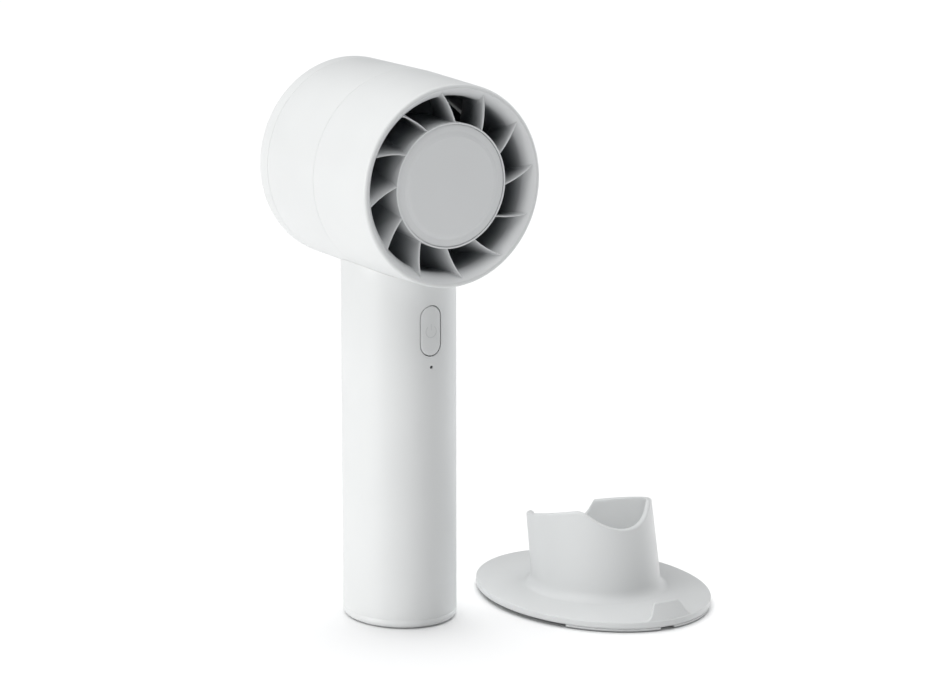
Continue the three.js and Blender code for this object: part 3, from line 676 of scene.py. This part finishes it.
def make_impeller():
    profile = fillet([
        (WHEEL_R, -12.5, 0.3), (WHEEL_R, 1.5, 4), (18.6, 4.6, 4), (16.2, 7.4, 4), (12.2, 9.6, 6),
        (7.0, 10.7, 6), (1.52, 10.9), (1.52, 0.2), (4.6, 0.2), (4.6, 8.9), (11.3, 8.0),
        (14.8, 6.2), (17.0, 3.8), (17.9, 1.2), (17.9, -12.5, 0.2),
    ])
    shapes = [turned(profile, segments=128)]
    shapes += [impeller_blade(2 * math.pi * k / BLADE_COUNT) for k in range(BLADE_COUNT)]
    obj = make_mesh("impeller_wheel", *merged(*shapes), DARK_INNER)
    place(obj, "rotor", "dark_inner", "impeller")


# ---- handle ----


def front_y(x):
    """The handle's front surface at an x."""
    return -HANDLE_Y * math.sqrt(max(0, 1 - (x / HANDLE_X) ** 2))


def neck_z(x, y, gap=0.03):
    """Height at which the handle meets the underside of the head."""
    r = head_radius(y) + gap
    return HEAD_Z - math.sqrt(max(0, r * r - x * x))


def handle_skin():
    """The outer and inner walls of the handle, from the cap seam to the head."""
    count, levels = 192, 44
    rings = []
    for inset, rising in ((0, True), (HANDLE_WALL, False)):
        rows = []
        for k in range(levels + 1):
            s = k / levels
            row = []
            for i in range(count):
                t = 2 * math.pi * i / count
                x = (HANDLE_X - inset) * math.cos(t)
                y = (HANDLE_Y - inset) * math.sin(t)
                row.append((x, y, CAP_SEAM_Z + (neck_z(x, y) - CAP_SEAM_Z) * s))
            rows.append(row)
        rings += rows if rising else rows[::-1]
    rings.append(rings[0])
    return loft(rings, caps=False)


def handle_cutter(name, outline, z, y0, y1):
    """A bar through the handle's wall, from an outline of (across, up)."""
    return helper(name, loft([[(u, y, z + v) for u, v in outline] for y in (y0, y1)]))


def make_handle():
    """The oval tube with the key's slot, the socket's mouth and the indicator's pinhole."""
    obj = helper("handle_skin", handle_skin())
    slot = stadium(BUTTON_W + 0.5, BUTTON_H + 0.5, 24)
    boolean(obj, handle_cutter("slot", slot, BUTTON_Z, -14, -24))
    mouth = [(v, u) for u, v in stadium(SOCKET_H, SOCKET_W, 16)]
    boolean(obj, handle_cutter("mouth", mouth, SOCKET_Z, 24, 14))
    pin = [(x, y) for x, y, _ in oval(LED_R, LED_R, 0, count=24)]
    boolean(obj, handle_cutter("pin", pin, LED_Z, -14, -24))
    soften(obj, 0.11, angle=50, segments=3)
    smooth(obj, 34)
    place(obj, "fan_body", "white_shell", "handle_shell")


def make_bottom_cap():
    """The cap that the fan stands on, with a rounded bottom edge and a stepped top."""
    rings = []
    edge = 1.9
    for k in range(13):
        t = math.pi / 2 * k / 12
        inset = edge * (1 - math.sin(t))
        rings.append(oval(HANDLE_X - inset, HANDLE_Y - inset, edge * (1 - math.cos(t)), count=192))
    for inset, z in ((0, CAP_SEAM_Z - 0.06), (0.04, CAP_SEAM_Z - 0.02), (2, CAP_SEAM_Z - 0.02), (2, 7.4)):
        rings.append(oval(HANDLE_X - inset, HANDLE_Y - inset, z, count=192))
    obj = make_mesh("bottom_cap_shell", *loft(rings), WHITE, sharp=50)
    place(obj, "fan_body", "white_shell", "bottom_cap")


def button_point(u, v, lift):
    """A point over the handle's front surface: u across, v up and lift outwards."""
    return (u, front_y(u) + 0.03 - lift, BUTTON_Z + v)


def make_button():
    """The key: follows the handle's curve, with a rolled edge going down into the slot."""
    rings = []
    for inset, sink in ((0, 4.2), (0, 0.5), (0.04, 0.28), (0.14, 0.13), (0.28, 0.04), (0.5, 0.0)):
        outline = stadium(BUTTON_W - 2 * inset, BUTTON_H - 2 * inset, 24)
        rings.append([button_point(u, v, -sink) for u, v in outline])
    for scale in (0.86, 0.68, 0.48, 0.28, 0.1):
        outline = stadium(BUTTON_W - 1.0, BUTTON_H - 1.0, 24)
        rings.append([button_point(u * scale, v * scale, 0) for u, v in outline])
    obj = make_mesh("power_key", *loft(rings), WHITE_BUTTON, sharp=60)
    place(obj, "button", "button_white", "power_button")
    make_icon()


def stroke(points, width, height):
    """A thin raised stroke that follows points (u, v) on the key's face."""
    rings = []
    for i, (u, v) in enumerate(points):
        before = Vector(points[max(0, i - 1)])
        after = Vector(points[min(len(points) - 1, i + 1)])
        along = (after - before).normalized()
        side = Vector((-along.y, along.x))
        ring = []
        for k in range(8):
            t = math.pi * k / 7
            w = side * (width / 2 * math.cos(t))
            ring.append(button_point(u + w.x, v + w.y, height * math.sin(t) - 0.01))
        rings.append(ring)
    return loft(rings)


def make_icon():
    """A plain power sign: a ring open at the top, with an upright bar in the gap."""
    radius, gap = 2.0, 76
    ring = []
    for k in range(41):
        t = math.radians(90 + gap / 2 + (360 - gap) * k / 40)
        ring.append((radius * math.cos(t), radius * math.sin(t) - 0.2))
    bar = [(0, 0.2 + 2.1 * k / 6) for k in range(7)]
    shape = merged(stroke(ring, 0.34, 0.07), stroke(bar, 0.34, 0.07))
    obj = make_mesh("power_sign", *shape, ICON_GREY, sharp=60)
    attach(obj, "button")


# ---- docking stand ----


def stand_oval(inset, z):
    """The flange's outline, drawn in by an inset."""
    return oval(FLANGE_X - inset, FLANGE_Y - inset, z, STAND_X, STAND_Y, STAND_SEGMENTS)


def cup_point(t, grow, z):
    """A point on the leaning cup, at an angle, an offset from the handle's oval, and a height."""
    x = STAND_X + (HANDLE_X + grow) * math.cos(t)
    y = STAND_Y + CUP_SHIFT + CUP_LEAN * (z - 3) + (HANDLE_Y + grow) * math.sin(t)
    return (x, y, z)


def cup_ring(grow, z):
    """A level ring round the cup."""
    return [cup_point(2 * math.pi * k / STAND_SEGMENTS, grow, z) for k in range(STAND_SEGMENTS)]


def outer_grow(z):
    """The cup's outside, which widens a little towards its foot."""
    return CUP_CLEARANCE + CUP_WALL + 0.019 * (30 - z)


def soft_min(a, b, blend=2.6):
    """The lower of two values, with a rounded change from one to the other."""
    h = max(0, blend - abs(a - b)) / blend
    return min(a, b) - h * h * blend / 4


def rim_height(t):
    """Top of the cup's wall: a tilted rim with a round scoop at the front and another at the back."""
    z = 30.0
    for _ in range(8):
        x, y, _ = cup_point(t, CUP_CLEARANCE + CUP_WALL / 2, z)
        u = x - STAND_X
        z = CUP_RIM_Z - CUP_RIM_SLOPE * (y - STAND_Y)
        radius, middle = FRONT_SCOOP if math.sin(t) < 0 else REAR_SCOOP
        if abs(u) < radius:
            z = soft_min(z, middle - math.sqrt(radius * radius - u * u))
    return z


def cup_rings():
    """Rings from the cup's floor up its inside, over the rim and down to the flange."""
    floor = ((-6, CUP_FLOOR_Z), (-0.6, CUP_FLOOR_Z), (0.1, 5.35), (0.5, 5.8), (0.6, CUP_CORNER_Z))
    rings = [cup_ring(grow, z) for grow, z in floor]
    angles = [2 * math.pi * k / STAND_SEGMENTS for k in range(STAND_SEGMENTS)]
    tops = [(t, rim_height(t) - CUP_RIM_ROUND) for t in angles]
    for k in range(1, 25):
        ring = []
        for t, top in tops:
            z = CUP_CORNER_Z + (top - CUP_CORNER_Z) * k / 24
            ring.append(cup_point(t, CUP_CLEARANCE, z))
        rings.append(ring)
    for k in range(1, 12):
        a = math.pi * k / 12
        ring = []
        for t, top in tops:
            grow = CUP_CLEARANCE + (outer_grow(top) - CUP_CLEARANCE) * (1 - math.cos(a)) / 2
            ring.append(cup_point(t, grow, top + CUP_RIM_ROUND * math.sin(a)))
        rings.append(ring)
    for k in range(25):
        ring = []
        for t, top in tops:
            z = top + (CUP_FOOT_Z - top) * k / 24
            ring.append(cup_point(t, outer_grow(z), z))
        rings.append(ring)
    for k in range(1, 13):
        a = math.pi / 2 * k / 12
        z = FLANGE_ROOT_Z + (CUP_FOOT_Z - FLANGE_ROOT_Z) * (1 - math.sin(a))
        rings.append(cup_ring(outer_grow(z) + 3.1 * (1 - math.cos(a)), z))
    return rings


def flange_rings(start):
    """Rings from the foot of the cup out over the flange, round its edge and back underneath."""
    rings = []
    edge = stand_oval(0.34, FLANGE_EDGE_Z)
    for k in range(1, 13):
        s = k / 12
        ring = []
        for p, q in zip(start, edge):
            x, y = p[0] + (q[0] - p[0]) * s, p[1] + (q[1] - p[1]) * s
            ring.append((x, y, FLANGE_ROOT_Z + (FLANGE_EDGE_Z - FLANGE_ROOT_Z) * s ** 1.4))
        rings.append(ring)
    for inset, drop in ((0.2, 0.03), (0.09, 0.1), (0.02, 0.22), (0, 0.4), (0, 1.6), (0.06, 1.95),
                        (0.22, 2.2), (0.5, 2.34), (0.9, 2.35), (3.2, 2.35)):
        rings.append(stand_oval(inset, FLANGE_EDGE_Z - drop))
    for inset, z in ((3.2, 2.0), (9, 2.6), (16, 3.1)):
        rings.append(stand_oval(inset, z))
    return rings


def lip_height(u):
    """The lip's outline: flat on top, with an S-curved flank on each side."""
    t = max(0, min(1, (abs(u) - 4.0) / 6.4))
    return 3.3 + 5.45 / (1 + (t / 0.36) ** 3.2) - 0.2 * t


def lip():
    """A thin sloping wall along the flange's front edge."""
    rings = []
    steps = 160
    foot, round_top = 2.2, 0.45
    for i in range(steps + 1):
        u = -10.6 + 20.6 * i / steps
        shoulder = lip_height(u) - round_top
        front = -(FLANGE_Y - 0.12) * math.sqrt(1 - (u / (FLANGE_X - 0.12)) ** 2)
        ring = []
        for k in range(9):
            z = foot + (shoulder - foot) * k / 8
            ring.append((front + LIP_LEAN * max(0, z - 3), z))
        y0 = front + LIP_LEAN * max(0, shoulder - 3)
        for k in range(1, 8):
            a = math.pi * k / 8
            ring.append((y0 + LIP_WALL / 2 * (1 - math.cos(a)), shoulder + round_top * math.sin(a)))
        for k in range(9):
            z = shoulder + (foot - shoulder) * k / 8
            root = 0.9 * math.exp(-abs(z - 3.7) / 0.5)
            ring.append((front + LIP_LEAN * max(0, z - 3) + LIP_WALL + root, z))
        rings.append([(STAND_X + u, STAND_Y + v, z) for v, z in ring])
    return loft(rings)


def boss(side):
    """A hollow screw post under the flange."""
    y = STAND_Y + side * SCREW_Y
    rings = [oval(r, r, z, STAND_X, y, 32) for r, z in ((2.6, 1.3), (2.6, 3.6), (1.0, 3.6), (1.0, 1.3))]
    return loft(rings + [rings[0]], caps=False)


def make_stand_shell():
    rings = cup_rings()
    rings += flange_rings(rings[-1])
    obj = make_mesh("stand_skin", *merged(loft(rings), lip(), boss(-1), boss(1)), WHITE, sharp=50)
    place(obj, "stand", "white_shell", "stand_shell")


def make_stand_base():
    """The plate under the flange: set back, but flush with it along part of the front, with a notch."""
    low, high = 0.3, 1.05
    obj = helper("stand_base_plate", loft([stand_oval(2.9, low), stand_oval(2.9, high)]))
    front = helper("front_plate", loft([stand_oval(0.5, low), stand_oval(0.15, high)]))
    outline = [(0, -5), (60, -55), (60, -70), (-60, -70), (-60, -51)]
    wedge = loft([[(STAND_X + u, STAND_Y + v, z) for u, v in outline] for z in (0, 3)])
    boolean(front, helper("wedge", wedge), "INTERSECT")
    boolean(obj, front, "UNION")
    notch = block(STAND_X - 4.2, STAND_X + 1.0, STAND_Y - 50, STAND_Y - 43.5, -1, 3)
    boolean(obj, helper("notch", notch))
    for side in (-1, 1):
        hole = loft([oval(1.1, 1.1, z, STAND_X, STAND_Y + side * SCREW_Y, 32) for z in (-1, 3)])
        boolean(obj, helper("hole", hole))
    soften(obj, 0.1, angle=45, segments=2)
    smooth(obj, 35)
    place(obj, "stand", "white_shell", "stand_base")


# ---- CAD nodes that keep their shape ----


def dress_nodes():
    """Gives the CAD nodes that stay visible or inside their materials."""
    looks = {
        "indicator_lens": LENS, "indicator_led": WHITE_INNER, "charge_socket": STEEL,
        "charge_tongue": BLACK_PLASTIC, "charge_chip": BLACK_PLASTIC, "main_board": BOARD,
        "switch_board": BOARD, "switch_body": BLACK_PLASTIC, "switch_plunger": RUBBER,
        "battery_cell": SLEEVE, "battery_cradle": FRAME_GREY, "contact_bottom": STEEL,
        "contact_top": STEEL, "neck_plate": FRAME_GREY, "motor_lead_red": RED_WIRE,
        "motor_lead_black": BLACK_WIRE, "motor_base": ALUMINIUM, "stator_core": DARK_STEEL,
        "rotor_bell": DARK_STEEL, "magnet_ring": RUBBER, "motor_shaft": STEEL,
        "impeller_nut": STEEL, "bearing_front": STEEL, "bearing_rear": STEEL,
        "stand_weight": DARK_STEEL,
    }
    for name, obj in frame["nodes"].items():
        mat = looks.get(name)
        if name.startswith("stator_coil"):
            mat = COPPER
        if "screw" in name:
            mat = STEEL
        if name.startswith("stand_foot"):
            mat = RUBBER
        if mat is None:
            continue
        obj.data.materials.clear()
        obj.data.materials.append(mat)


# ---- stage ----


def floor_material():
    mat, tree, node = shader("studio_floor")
    clouds = object_noise(tree, 3, 2)
    colour = tint(tree, spread(tree, clouds, 0, 1), (0.93, 0.93, 0.93), (0.95, 0.95, 0.95))
    tree.links.new(colour, node.inputs["Base Color"])
    node.inputs["Roughness"].default_value = 0.9
    node.inputs["Specular IOR Level"].default_value = 0.1
    return mat


def make_stage():
    """A plain pale floor."""
    mesh = bpy.data.meshes.new("studio_floor")
    half = 9.0  # metres
    corners = [(-half, -half, 0), (half, -half, 0), (half, half, 0), (-half, half, 0)]
    mesh.from_pydata(corners, [], [(0, 1, 2, 3)])
    floor = bpy.data.objects.new("studio_floor", mesh)
    bpy.context.collection.objects.link(floor)
    mesh.materials.append(floor_material())


def aim(obj, azimuth, elevation, centre, distance):
    """Places a light or the camera in a direction from the centre, and turns it to the centre."""
    a, e = math.radians(azimuth), math.radians(elevation)
    source = Vector((math.sin(a) * math.cos(e), -math.cos(a) * math.cos(e), math.sin(e)))
    obj.location = Vector(centre) * MM + source * distance
    obj.rotation_mode = "QUATERNION"
    obj.rotation_quaternion = source.to_track_quat("Z", "Y")


def add_sun(name, azimuth, elevation, strength, angle, lit, blockers=None, colour=(1, 1, 1)):
    """A broad sun that shines from the given direction on one group of objects."""
    light = bpy.data.lights.new(name, "SUN")
    light.energy = strength
    light.angle = math.radians(angle)
    light.color = colour
    obj = bpy.data.objects.new(name, light)
    bpy.context.collection.objects.link(obj)
    aim(obj, azimuth, elevation, (0, 0, 0), 1)
    obj.light_linking.receiver_collection = lit
    if blockers:
        obj.light_linking.blocker_collection = blockers


def add_panel(name, azimuth, elevation, distance, power, size, lit, blockers):
    """A near, square light beside the stand."""
    light = bpy.data.lights.new(name, "AREA")
    light.energy = power
    light.size = size
    obj = bpy.data.objects.new(name, light)
    bpy.context.collection.objects.link(obj)
    aim(obj, azimuth, elevation, (STAND_X, STAND_Y, 10), distance)
    obj.light_linking.receiver_collection = lit
    obj.light_linking.blocker_collection = blockers


def group(name, objects):
    """A collection for light linking."""
    coll = bpy.data.collections.new(name)
    for obj in objects:
        coll.objects.link(obj)
    return coll


def make_lights():
    """A soft world light, and separate suns for the floor, the fan and the stand."""
    world = bpy.data.worlds.new("studio")
    world.use_nodes = True
    world.node_tree.nodes["Background"].inputs["Color"].default_value = (0.97, 0.985, 1.0, 1)
    world.node_tree.nodes["Background"].inputs["Strength"].default_value = 0.27
    bpy.context.scene.world = world
    meshes = [o for o in bpy.data.objects if o.type == "MESH"]
    floor = group("lit_floor", [o for o in meshes if o.name == "studio_floor"])
    stand = group("lit_stand", [o for o in meshes if o.name.startswith("stand_")])
    fan = group("lit_fan", [o for o in meshes if o.name not in floor.objects and o.name not in stand.objects])
    low = [bpy.data.objects["handle_skin"], bpy.data.objects["bottom_cap_shell"]]
    casters = group("shadow_casters", list(stand.objects) + low)
    plate = group("lit_plate", [bpy.data.objects["stand_base_plate"]])
    add_sun("floor_wash", 165, 74, 2.85, 75, floor, casters)
    add_sun("plate_fill", 0, 60, 0.5, 20, plate, floor)
    add_sun("fan_top", -60, 86, 2.2, 70, fan, fan)
    add_sun("fan_left", -95, 9, 1.8, 35, fan, fan, colour=(1.0, 0.995, 0.985))
    add_sun("fan_right", 98, 9, 0.95, 35, fan, fan, colour=(0.95, 0.98, 1.0))
    add_sun("stand_top", 170, 80, 1.32, 80, stand, stand)
    add_sun("stand_right", 98, 12, 0.75, 60, stand, stand)
    add_panel("stand_left", -70, 38, 0.26, 0.31, 0.2, stand, stand)


def make_camera():
    """A long lens at the photograph's angle, aimed between the fan and the stand."""
    data = bpy.data.cameras.new("camera")
    data.sensor_width = 36.0
    data.lens = 145.9
    cam = bpy.data.objects.new("camera", data)
    bpy.context.collection.objects.link(cam)
    aim(cam, azimuth=-32.25, elevation=13.1, centre=(21.29, -13.43, 90.11), distance=1.2705)
    data.clip_start, data.clip_end = 0.05, 60
    bpy.context.scene.camera = cam
    bpy.context.scene.view_settings.view_transform = "Standard"


make_camera()
make_stage()
make_front_shell()
make_rear_shell()
make_rear_bezel()
make_rear_grille()
make_guide_vanes()
make_hub_cap()
make_duct_liner()
make_impeller()
make_handle()
make_bottom_cap()
make_button()
make_stand_shell()
make_stand_base()
dress_nodes()
make_lights()
